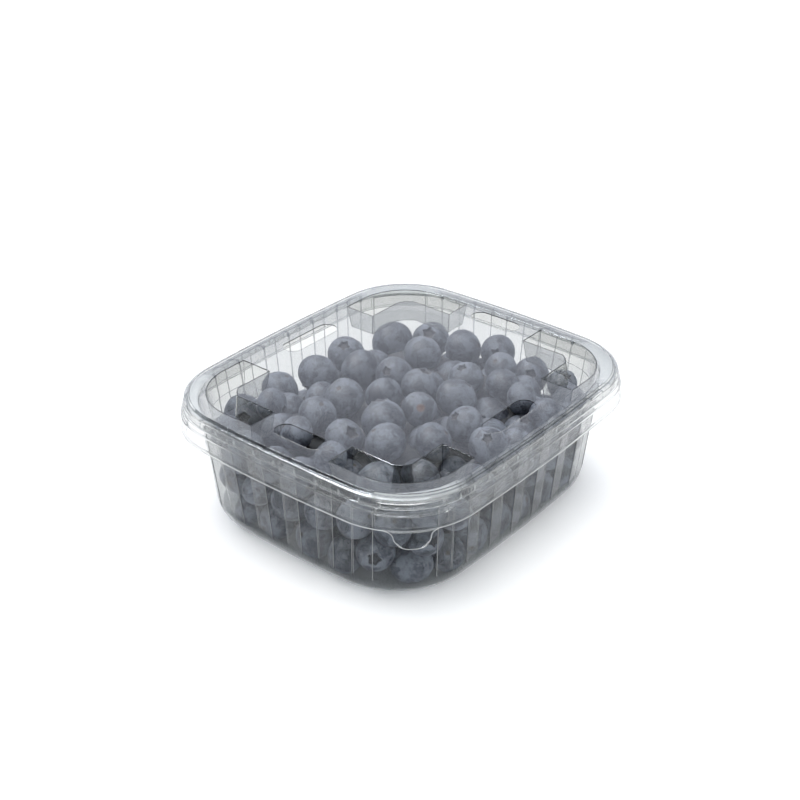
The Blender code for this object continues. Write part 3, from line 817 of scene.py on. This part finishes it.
def settle_berries():
    """Balls pulled down until they rest against each other, round the ones that have a place."""
    luck = numpy.random.RandomState(HEAP_SEED)
    places = [(x, y, float(heap_level(x, y)) - r, r) for x, y, r in BERRIES_ON_TOP]
    places += list(BERRIES_LOW)
    placed = numpy.array(places)
    held = len(placed)
    free = BERRY_COUNT - held
    grow = luck.beta(2.2, 2.2, free)
    radius = numpy.concatenate([placed[:, 3], BERRY_SMALL + (BERRY_BIG - BERRY_SMALL) * grow])
    x = numpy.concatenate([placed[:, 0], luck.uniform(-52.0, 52.0, free)])
    y = numpy.concatenate([placed[:, 1], luck.uniform(-62.0, 62.0, free)])
    z = numpy.concatenate([placed[:, 2], luck.uniform(8.0, 34.0, free)])
    floor = FILM + NODE_GAP
    roof = TOTAL_H - FILM - NODE_GAP
    for step in range(SETTLE_STEPS):
        fade = min(1.0, (SETTLE_STEPS - step) / (SETTLE_STEPS - SETTLE_FULL))
        z[held:] -= SETTLE_PULL * fade
        for again in range(3):
            dx = x[:, None] - x[None, :]
            dy = y[:, None] - y[None, :]
            dz = z[:, None] - z[None, :]
            dist = numpy.sqrt(dx * dx + dy * dy + dz * dz) + 1e-9
            over = BERRY_TOUCH * (radius[:, None] + radius[None, :]) - dist
            numpy.fill_diagonal(over, 0.0)
            push = numpy.where(over > 0, over, 0.0) * PUSH_SHARE / dist
            x = x + (push * dx).sum(1)
            y = y + (push * dy).sum(1)
            z = z + (push * dz).sum(1)
            x[:held] += HOLD_SHARE * (placed[:, 0] - x[:held])
            y[:held] += HOLD_SHARE * (placed[:, 1] - y[:held])
            z[:held] += HOLD_SHARE * (placed[:, 2] - z[:held])
            far, nx, ny = tub_room(x, y, z, radius)
            out = numpy.maximum(far, 0.0)
            x = x - out * nx
            y = y - out * ny
            sx, sy, sz = pocket_push(x, y, z, radius)
            x = x + sx
            y = y + sy
            z = z + sz
            z[held:] = numpy.minimum(z[held:], heap_level(x, y)[held:] - 1.0 - radius[held:])
            z = numpy.clip(z, floor + radius, roof - radius)
    return x, y, z, radius


berry_x, berry_y, berry_z, berry_r = settle_berries()
print("berries:", len(berry_r), "from", round(2 * berry_r.min(), 1),
      "to", round(2 * berry_r.max(), 1), "mm across")

# %% [markdown]
# ## One berry
# A berry of this kind is a slightly flattened ball. The flower end carries a crater inside a
# crown of five points, and the stem end a small round scar. It is turned like a pot, ring by
# ring round its own axis, and the crown comes from pulling some rings out five times on their
# way round. An icosphere would spread its facets evenly. Rings can sit close together where
# the crater is, and that is where the eye goes.

# %% A berry's side view, from the crater's floor to the stem scar
BERRY_SIDE = [             # distance from the axis, height, how much the crown shapes it
    (0.07, 0.785, 0.0), (0.15, 0.780, 0.2), (0.21, 0.80, 0.55), (0.255, 0.865, 0.9),
    (0.290, 0.920, 1.0), (0.325, 0.912, 0.9), (0.375, 0.862, 0.35),
]
CROWN_POINTS = 5
BERRY_SEGMENTS = 24
for degrees in (32, 42, 53, 64, 76, 89, 103, 117, 131, 144, 156, 166):
    turn = math.radians(degrees)
    BERRY_SIDE.append((math.sin(turn), 0.90 * math.cos(turn), 0.0))
BERRY_SIDE += [(0.13, -0.880, 0.0), (0.10, -0.862, 0.0)]
print("one berry:", 2 * BERRY_SEGMENTS * len(BERRY_SIDE), "triangles")


def turn_berry(luck):
    """Points of one berry of radius 1 with its flower end up, no two alike."""
    flat = luck.uniform(0.95, 1.03)
    crown_wide = luck.uniform(0.82, 1.12)
    crown_tall = luck.uniform(0.3, 1.1)
    lobes = luck.uniform(0.35, 1.0, CROWN_POINTS)
    skew = luck.uniform(-0.9, 0.9, CROWN_POINTS)
    sway = [(luck.uniform(-0.024, 0.024), luck.uniform(0, 2 * math.pi)) for i in range(3)]
    out = []
    for reach, high, crown in BERRY_SIDE:
        in_crown = high > 0.7 and reach < 0.39
        for i in range(BERRY_SEGMENTS):
            a = 2.0 * math.pi * i / BERRY_SEGMENTS
            rho, h = reach, high * flat
            if in_crown:
                nearest = round(CROWN_POINTS * i / BERRY_SEGMENTS) % CROWN_POINTS
                lobe = lobes[nearest]
                lean = skew[nearest]
                point = (0.5 + 0.5 * math.cos(CROWN_POINTS * a + 0.5 * lean)) ** 1.8
                rho = rho * crown_wide + 0.17 * crown * (point * lobe - 0.30)
                h += crown * (0.05 * point * lobe * crown_tall - 0.028)
            uneven = 1.0
            for order, (size, start) in enumerate(sway):
                uneven += size * math.cos((order + 2) * a + start) * min(1.0, rho * 1.4)
            out.append((rho * uneven * math.cos(a), rho * uneven * math.sin(a), h))
    return out


# %% [markdown]
# ## The whole heap of berries
# Every berry gets its own turn of the axis. A few face a chosen way, with a crown toward the
# lid or a scar toward the near corner. The others fall any way, but most of those whose crown
# would point out of the heap are turned to hide it, since a plain round side shows more often.
# One berry lies lower than it settled, which leaves a dark gap under a vent. Berries that lie
# wholly inside the core of the heap aren't drawn.
#
# Each point also remembers where it sits on its own berry and which berry that is. The paint
# reads those two notes, so bloom and scars move with the berry and not with the room.

# %% Which way each berry faces
HEAP_FACES = {            # order in the settled heap: direction of the flower end
    3: (0.25, -0.45, 0.85), 10: (-0.1, -0.35, 0.93), 31: (0.45, -0.15, 0.88),
    13: (0.35, 0.55, 0.75), 15: (-0.35, 0.2, 0.92), 26: (0.3, -0.5, 0.8),
    14: (-0.62, 0.62, -0.62), 22: (-0.3, -0.6, 0.7), 6: (0.1, -0.8, 0.6),
    19: (0.7, -0.1, 0.7), 32: (0.55, -0.75, 0.2), 34: (0.9, -0.35, 0.3),
}
SCARRED = 14              # this one shows the brown stem end
LOWERED = {25: 8.5}       # order in the heap, and how much lower: the one under the +X vent
HIDDEN_CROWNS = 0.8       # share of the outward crowns that turn inward
CORE_DEPTH = 15.0         # the core starts this far under the heap's top
BERRY_SEED = 29


def depth_in_heap(x, y, z):
    """Depth of a place under the heap's outer surface, in millimetres."""
    far, nx, ny = tub_room(numpy.array([x]), numpy.array([y]), numpy.array([z]), 0.0)
    return min(-float(far[0]), float(heap_level(x, y)) - z, z)


def heap_of_berries():
    """All berries that can show as one piece, with two notes on every point."""
    luck = numpy.random.RandomState(BERRY_SEED)
    points, faces, local, mark = [], [], [], []
    around = BERRY_SEGMENTS
    levels = len(BERRY_SIDE)
    drawn = 0
    for n in range(len(berry_r)):
        shape = turn_berry(luck)
        facing = Vector(luck.normal(size=3)).normalized()
        roll = luck.uniform(0.0, 2.0 * math.pi)
        number = luck.uniform(0.0, 1.0)
        outward = Vector((berry_x[n] / TUB_X, berry_y[n] / TUB_Y, berry_z[n] / HEAP_LEVEL))
        if facing.dot(outward) > 0.1 and luck.uniform() < HIDDEN_CROWNS:
            facing.negate()
        if n in HEAP_FACES:
            facing = Vector(HEAP_FACES[n]).normalized()
        if depth_in_heap(berry_x[n], berry_y[n], berry_z[n]) > CORE_DEPTH + berry_r[n] + 1.0:
            continue
        height = berry_z[n] - LOWERED.get(n, 0.0)
        turn = facing.to_track_quat("Z", "Y")
        base = len(points)
        spin_c, spin_s = math.cos(roll), math.sin(roll)
        for order, (px, py, pz) in enumerate(shape):
            at = Vector((spin_c * px - spin_s * py, spin_s * px + spin_c * py, pz))
            place = turn @ (at * float(berry_r[n]))
            points.append((place.x + berry_x[n], place.y + berry_y[n], place.z + height))
            reach = BERRY_SIDE[order // around][0] / max(math.hypot(px, py), 1e-6)
            local.append((px * reach, py * reach, pz))
            mark.append(number if n != SCARRED else 2.0)
        for level in range(levels - 1):
            a = base + level * around
            for i in range(around):
                j = (i + 1) % around
                faces.append((a + i, a + around + i, a + around + j, a + j))
        faces.append(tuple(base + i for i in range(around)))
        last = base + (levels - 1) * around
        faces.append(tuple(last + i for i in reversed(range(around))))
        drawn += 1
    piece = new_piece("berries_loose", points, faces)
    spots = piece.data.attributes.new("berry_spot", "FLOAT_VECTOR", "POINT")
    spots.data.foreach_set("vector", [c for p in local for c in p])
    marks = piece.data.attributes.new("berry_mark", "FLOAT", "POINT")
    marks.data.foreach_set("value", mark)
    print("berries drawn:", drawn, "of", len(berry_r))
    return piece


berries = heap_of_berries()
low = [min(v.co[i] for v in berries.data.vertices) / MM for i in range(3)]
high = [max(v.co[i] for v in berries.data.vertices) / MM for i in range(3)]
print("berries:", triangles(berries), "triangles,",
      [round(v, 1) for v in low], "to", [round(v, 1) for v in high], "mm")


# %% [markdown]
# ## The core
# Light that gets between the outer berries should be lost. A lump inside the heap does that
# for the price of a few facets, and it lets the berries nobody can see stay out of the model.
# It keeps about a berry's radius from the tub's walls and a whole berry from the heap's top.
# Its top is tucked in well, because a flat edge up there would show between the berries. It
# has the colour of berries in deep shade.

# %% The core
CORE_SIDE, CORE_FLOOR = 9.5, 5.0
CORE_TUCK_LOW, CORE_TUCK_HIGH = 4.0, 15.0  # how far the bottom and the top draw in
CORE_LEVELS, CORE_SEGMENTS = 8, 40
CORE_SEED = 3


def core_lump():
    luck = numpy.random.RandomState(CORE_SEED)
    rings = []
    around = CORE_SEGMENTS
    for level in range(CORE_LEVELS + 1):
        up = level / CORE_LEVELS
        z = CORE_FLOOR + up * (HEAP_LEVEL - CORE_DEPTH - CORE_FLOOR)
        tuck = CORE_TUCK_LOW * (1.0 - up) ** 4 + CORE_TUCK_HIGH * up ** 3
        drop = (TUB_AT_Z - z) * TUB_TAPER
        hx = TUB_X - drop - CORE_SIDE - tuck
        hy = TUB_Y - drop - CORE_SIDE - tuck
        ring = []
        for i in range(around):
            a = 2.0 * math.pi * i / around
            c, s = math.cos(a), math.sin(a)
            grip = (abs(c / hx) ** 4 + abs(s / hy) ** 4) ** -0.25
            grip *= luck.uniform(0.965, 1.0)
            ring.append((TUB_SHIFT_X + grip * c, TUB_SHIFT_Y + grip * s,
                         z + luck.uniform(-0.8, 0.8)))
        rings.append(ring)
    points, faces = loft(rings, True, True)
    return new_piece("berries_core", points, faces)


core = core_lump()
print("core:", triangles(core), "triangles")


# %% [markdown]
# ## A small way to write shader maths
# Node graphs are formulas. This class wraps a node's output, so that adding or multiplying
# two of them adds the Math node for it. Everything that isn't plain arithmetic goes through
# one method, which makes a node of any type, sets its settings first and then its sockets.

# %% Sockets that can be added and multiplied
class Wire:
    def __init__(self, paint, socket):
        self.paint = paint
        self.socket = socket

    def __add__(self, other):
        return self.paint.maths("ADD", self, other)

    def __sub__(self, other):
        return self.paint.maths("SUBTRACT", self, other)

    def __rsub__(self, other):
        return self.paint.maths("SUBTRACT", other, self)

    def __mul__(self, other):
        return self.paint.maths("MULTIPLY", self, other)

    def __gt__(self, other):
        return self.paint.maths("GREATER_THAN", self, other)

    def __lt__(self, other):
        return self.paint.maths("LESS_THAN", self, other)

    __radd__ = __add__
    __rmul__ = __mul__


class Paint:
    """A pen for the nodes of a material, or of the room's light."""

    def __init__(self, owner, end="ShaderNodeOutputMaterial"):
        owner.use_nodes = True
        self.owner = owner
        self.tree = owner.node_tree
        self.tree.nodes.clear()
        self.end = self.tree.nodes.new(end)

    def set(self, socket, value):
        if isinstance(value, Wire):
            self.tree.links.new(value.socket, socket)
        else:
            socket.default_value = value

    def node(self, kind, settings=None, out=0, **sockets):
        made = self.tree.nodes.new(kind)
        for name, value in (settings or {}).items():
            setattr(made, name, value)
        for name, value in sockets.items():
            spot = int(name[1:]) if name[0] == "n" and name[1:].isdigit() else None
            socket = made.inputs[spot] if spot is not None else made.inputs[name.replace("_", " ")]
            self.set(socket, value)
        return Wire(self, made.outputs[out])

    def maths(self, operation, *values, clamp=False):
        sockets = {"n%d" % i: value for i, value in enumerate(values)}
        return self.node("ShaderNodeMath", {"operation": operation, "use_clamp": clamp},
                         **sockets)

    def clamp(self, value):
        return self.maths("ADD", value, 0.0, clamp=True)

    def step(self, value, start, end):
        """0 before start, 1 after end, and smooth between."""
        return self.node("ShaderNodeMapRange", {"interpolation_type": "SMOOTHSTEP"},
                         Value=value, From_Min=start, From_Max=end, To_Min=0.0, To_Max=1.0)

    def blend(self, share, a, b):
        """Colours a and b mixed by share."""
        return self.node("ShaderNodeMix", {"data_type": "RGBA"}, out=2,
                         n0=share, n6=a, n7=b)

    def split(self, vector):
        """The three numbers of a vector."""
        made = self.tree.nodes.new("ShaderNodeSeparateXYZ")
        self.set(made.inputs[0], vector)
        return [Wire(self, made.outputs[i]) for i in range(3)]

    def noise(self, where, scale, detail=2.0, rough=0.5):
        return self.node("ShaderNodeTexNoise", {"noise_dimensions": "3D"}, out=0,
                         Vector=where, Scale=scale, Detail=detail, Roughness=rough)

    def finish(self, shader):
        self.tree.links.new(shader.socket, self.end.inputs["Surface"])
        return self.owner


# %% [markdown]
# ## Berry skin and bloom
# The skin is nearly black with a blue cast. Over it lies bloom, a pale wax that rubs off where
# berries touch. So the colour is a mix: a broad mottle decides where bloom has survived, a
# finer one breaks its edges, thin scuffs cross it, and each berry starts from its own amount.
# Round the crown the bloom stays thickest. Inside the crown the crater is dark and dry, and
# only the tips of its points are pale. Wax also scatters light, so where it lies the shine
# goes.

# %% Paint the berries
def berry_skin():
    paint = Paint(bpy.data.materials.new("blue_skin_with_bloom"))
    spot = paint.node("ShaderNodeAttribute", {"attribute_name": "berry_spot"}, out=1)
    mark = paint.node("ShaderNodeAttribute", {"attribute_name": "berry_mark"}, out=2)
    apart = paint.node("ShaderNodeCombineXYZ", X=mark * 31.7, Y=mark * 17.3, Z=mark * 53.1)
    where = paint.node("ShaderNodeVectorMath", {"operation": "ADD"}, n0=spot, n1=apart)
    sx, sy, sz = paint.split(spot)
    rho = paint.maths("SQRT", sx * sx + sy * sy)
    flower_end = sz > 0.3
    stem_end = sz < -0.3

    broad = paint.noise(where, 1.4, 3.0, 0.55)
    fine = paint.noise(where, 5.5, 4.0, 0.65)
    specks = paint.noise(where, 24.0, 2.0, 0.5)
    drift = paint.noise(where, 2.6, 2.0, 0.6)
    scuff = 1.0 - paint.step(paint.maths("ABSOLUTE", drift - 0.5), 0.004, 0.022)
    kept = paint.step(broad + 0.45 * fine, 0.60, 0.84)
    own = paint.node("ShaderNodeTexWhiteNoise", {"noise_dimensions": "1D"}, out=0, W=mark)
    bloom = (0.20 + 0.24 * own) + 0.66 * kept - 0.40 * paint.step(specks, 0.50, 0.68)
    bloom = bloom - 0.55 * (scuff * paint.step(fine, 0.42, 0.58))
    collar = flower_end * (1.0 - paint.step(rho, 0.40, 0.66))
    bloom = paint.clamp(bloom + 0.20 * collar)

    skin = (0.014, 0.016, 0.026, 1.0)
    wax = paint.blend(own, (0.172, 0.190, 0.230, 1.0), (0.228, 0.248, 0.292, 1.0))
    colour = paint.blend(bloom, skin, wax)

    crater = flower_end * (1.0 - paint.step(rho + 0.10 * fine, 0.29, 0.37))
    colour = paint.blend(0.92 * crater, colour, (0.026, 0.024, 0.027, 1.0))
    tips = flower_end * paint.step(rho, 0.27, 0.31) * (1.0 - paint.step(rho, 0.335, 0.375))
    colour = paint.blend(0.45 * (tips * paint.step(fine, 0.44, 0.60)), colour,
                         (0.27, 0.28, 0.30, 1.0))

    scar = stem_end * (1.0 - paint.step(rho, 0.10, 0.15))
    colour = paint.blend(0.8 * scar, colour, (0.060, 0.045, 0.032, 1.0))
    torn = (mark > 1.5) * stem_end * (1.0 - paint.step(rho + 0.08 * fine, 0.20, 0.34))
    colour = paint.blend(0.8 * torn, colour, (0.20, 0.11, 0.075, 1.0))

    rough = 0.42 + 0.30 * bloom
    height = 0.6 * fine + 0.4 * specks - 0.3 * scuff
    bumps = paint.node("ShaderNodeBump", Strength=0.25, Distance=0.0005, Height=height)
    body = paint.node("ShaderNodeBsdfPrincipled", Base_Color=colour, Roughness=rough,
                      Normal=bumps, IOR=1.40, Specular_IOR_Level=0.35)
    return paint.finish(body)


berries.data.materials.append(berry_skin())


def core_shade():
    """Mottled near-black, as fruit in deep shade."""
    paint = Paint(bpy.data.materials.new("berries_in_deep_shade"))
    place = paint.node("ShaderNodeNewGeometry", out=0)
    mottle = paint.noise(place, 180.0, 3.0)
    colour = paint.blend(mottle, (0.004, 0.005, 0.008, 1.0), (0.014, 0.016, 0.024, 1.0))
    return paint.finish(paint.node("ShaderNodeBsdfPrincipled", Base_Color=colour, Roughness=0.8))


core.data.materials.append(core_shade())


# %% [markdown]
# ## Clear film
# The sheet is modelled with its thickness, so it can be real clear plastic: light bends in
# and out of it, and both faces mirror the room a little. That mirroring greys the berries
# under the flat lid. The plastic itself takes a little light away, and more of it where it is
# seen edge-on, which is what shows clear film on a white floor. Formed sheet is never quite
# flat, so a slow wave and a finer ripple tilt the surface a little.
#
# The two notes on the faces come in here. "fold" darkens the tint where the sheet bends, a
# painted dark line, and on the tub's floor and at two places on the lid it is painted shade.
# "cloud" mixes in a pale plain plastic: at cut edges partly frosting and partly a painted
# highlight, in the rim's corners, and as a painted highlight along beads and the lid's bends.
#
# Lamps and soft light get in by a plain see-through shader, because bent light would
# otherwise take thousands of samples to find the berries.

# %% Paint the film
def clear_film(name, face_on, edge_on, bend, mirror, wave, ripple):
    paint = Paint(bpy.data.materials.new(name))
    place = paint.node("ShaderNodeNewGeometry", out=0)
    slow = paint.noise(place, 38.0, 1.0)
    quick = paint.noise(place, 150.0, 2.0)
    bumps = paint.node("ShaderNodeBump", Strength=1.0, Distance=0.001,
                       Height=wave * slow + ripple * quick)
    slant = paint.node("ShaderNodeLayerWeight", out=1, Blend=0.5)
    bent = paint.node("ShaderNodeAttribute", {"attribute_name": "fold"}, out=2)
    tint = paint.blend(paint.step(slant, 0.45, 0.95), face_on, edge_on)
    # painted shade: darker film at bends, on the tub's floor and at two places on the lid
    tint = paint.blend(0.75 * bent, tint, (0.16, 0.18, 0.20, 1.0))
    film = paint.node("ShaderNodeBsdfPrincipled", Base_Color=tint, Roughness=0.035, IOR=bend,
                      Transmission_Weight=1.0, Specular_Tint=mirror, Normal=bumps)
    pale = paint.node("ShaderNodeBsdfPrincipled", Base_Color=(0.80, 0.82, 0.82, 1.0),
                      Roughness=0.5)
    cloudy = paint.node("ShaderNodeAttribute", {"attribute_name": "cloud"}, out=2)
    # pale plastic by the cloud note: cloudy cut edges and rim corners, painted highlights on beads
    # and bends
    film = paint.node("ShaderNodeMixShader", n0=cloudy, n1=film, n2=pale)
    open_way = paint.node("ShaderNodeBsdfTransparent", Color=(0.95, 0.96, 0.965, 1.0))
    shadow_ray = paint.node("ShaderNodeLightPath", out=1)
    soft_ray = paint.node("ShaderNodeLightPath", out=2)
    both = paint.node("ShaderNodeMixShader", n0=paint.maths("MAXIMUM", shadow_ray, soft_ray),
                      n1=film, n2=open_way)
    return paint.finish(both)


lid_film = clear_film("clear_lid_film", face_on=(0.80, 0.806, 0.802, 1.0),
                      edge_on=(0.60, 0.61, 0.61, 1.0), bend=1.45,
                      mirror=(0.72, 0.75, 0.80, 1.0), wave=0.05, ripple=0.035)
tub_film = clear_film("clear_tub_film", face_on=(0.765, 0.775, 0.77, 1.0),
                      edge_on=(0.50, 0.51, 0.51, 1.0), bend=1.38,
                      mirror=(0.32, 0.36, 0.42, 1.0), wave=0.06, ripple=0.045)
for piece, film in ((lid, lid_film), (tub, tub_film)):
    piece.data.materials.clear()
    piece.data.materials.append(film)
    print(film.name, "on", piece.name)


# %% [markdown]
# ## Everything takes its place
# Each piece says which solid it dresses and which body it rides on. Nothing here opens, so all
# of them ride on the root.

# %% Replace and ride
for piece, node, slot in ((tub, "tub", "tub_film"), (lid, "lid", "lid_film"),
                          (berries, "berries", "fruit"), (core, "berries", "fruit")):
    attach(piece, "root")
    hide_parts(node)


# %% [markdown]
# ## Floor, light and camera
# The pack stands on a plain pale floor in a plain room. The walls behind it are pale, the
# right one brightest, and the side the camera stands on is dark. So what the film mirrors
# changes from wall to wall of the pack, and its folds and steps show as thin dark and light
# lines, on top of the painted dark lines and painted highlights that the film's notes add. The
# light comes from a broad lamp overhead. Two more lamps only show in shiny surfaces, as a
# studio's reflectors do: a long strip draws the bright line along the lid, and a broad one
# lifts the lid's corner at the right.

# %% Floor
FLOOR_HALF = 12.0         # metres
FLOOR_GAP = 0.0002
floor_data = bpy.data.meshes.new("floor")
floor_data.from_pydata([(x * FLOOR_HALF, y * FLOOR_HALF, 0.0)
                        for x, y in ((-1, -1), (1, -1), (1, 1), (-1, 1))], [], [(0, 1, 2, 3)])
floor = bpy.data.objects.new("floor", floor_data)
bpy.context.scene.collection.objects.link(floor)
floor.location.z = cad_low[2] - FLOOR_GAP


def floor_paint():
    paint = Paint(bpy.data.materials.new("pale_floor"))
    place = paint.node("ShaderNodeNewGeometry", out=0)
    grain = paint.noise(place, 9.0, 3.0)
    colour = paint.blend(grain, (0.93, 0.93, 0.93, 1.0), (0.955, 0.955, 0.955, 1.0))
    return paint.finish(paint.node("ShaderNodeBsdfPrincipled", Base_Color=colour, Roughness=0.7,
                                   Emission_Color=(1.0, 1.0, 1.0, 1.0), Emission_Strength=0.10))


floor.data.materials.append(floor_paint())


# %% Room
def room_light():
    """Sky colour by direction: dark behind the camera, pale beyond the pack, white overhead."""
    paint = Paint(bpy.data.worlds.new("plain_room"), "ShaderNodeOutputWorld")
    x, y, z = paint.split(paint.node("ShaderNodeTexCoord", out=0))
    far_wall = paint.blend(paint.step(x, -0.30, 0.45), (0.95, 0.99, 1.12, 1.0),
                           (1.10, 1.12, 1.12, 1.0))
    walls = paint.blend(paint.step(y, -0.40, 0.35), (0.24, 0.25, 0.27, 1.0), far_wall)
    colour = paint.blend(paint.step(z, 0.60, 0.92), walls, (1.15, 1.15, 1.15, 1.0))
    return paint.finish(paint.node("ShaderNodeBackground", Color=colour, Strength=1.0))


bpy.context.scene.world = room_light()


LAMPS_TOWARD = (0.0, 0.0, 0.03)            # metres: the middle of the pack


def lamp(name, at, size, power, shine_only=False):
    data = bpy.data.lights.new(name, "AREA")
    data.shape = "RECTANGLE"
    data.size, data.size_y = size
    data.energy = power
    made = bpy.data.objects.new(name, data)
    bpy.context.scene.collection.objects.link(made)
    made.location = at
    aim = Vector(LAMPS_TOWARD) - Vector(at)
    made.rotation_euler = aim.to_track_quat("-Z", "Y").to_euler()
    made.visible_diffuse = not shine_only
    print(name, round(aim.length, 2), "m away")


lamp("overhead", (-0.35, -0.10, 1.3), (1.1, 1.1), 9.0)
lamp("strip", (-0.55, -0.20, 1.15), (1.1, 0.45), 34.0, shine_only=True)
lamp("reflector", (0.30, -0.40, 1.25), (0.9, 0.7), 11.0, shine_only=True)

# %% Camera
turn_az, turn_el = 0.6874, 0.5213          # radians round the pack from -Y, and upward
back = Vector((math.sin(turn_az) * math.cos(turn_el), -math.cos(turn_az) * math.cos(turn_el),
               math.sin(turn_el)))
right = Vector((math.cos(turn_az), math.sin(turn_az), 0.0))
up = back.cross(right)
camera_data = bpy.data.cameras.new("camera")
camera = bpy.data.objects.new("camera", camera_data)
bpy.context.scene.collection.objects.link(camera)
camera_data.sensor_width = 36.0
camera_data.lens = 63.13
camera.location = (0.31538, -0.38715, 0.27489 + TOTAL_H * MM)
spin = Matrix((right, up, back)).transposed()
camera.rotation_euler = spin.to_euler()
print("camera:", round(camera.location.length, 2), "m away")

# %% How the light is traced
scene = bpy.context.scene
scene.camera = camera
scene.view_settings.view_transform = "Standard"
scene.cycles.use_denoising = True
scene.cycles.max_bounces = 16
scene.cycles.transmission_bounces = 14
scene.cycles.transparent_max_bounces = 24
scene.cycles.glossy_bounces = 6
scene.cycles.caustics_reflective = False
scene.cycles.caustics_refractive = False

# %% Finish
print("solids, mm:", [round(v / MM, 2) for v in (*cad_low, *cad_high)])
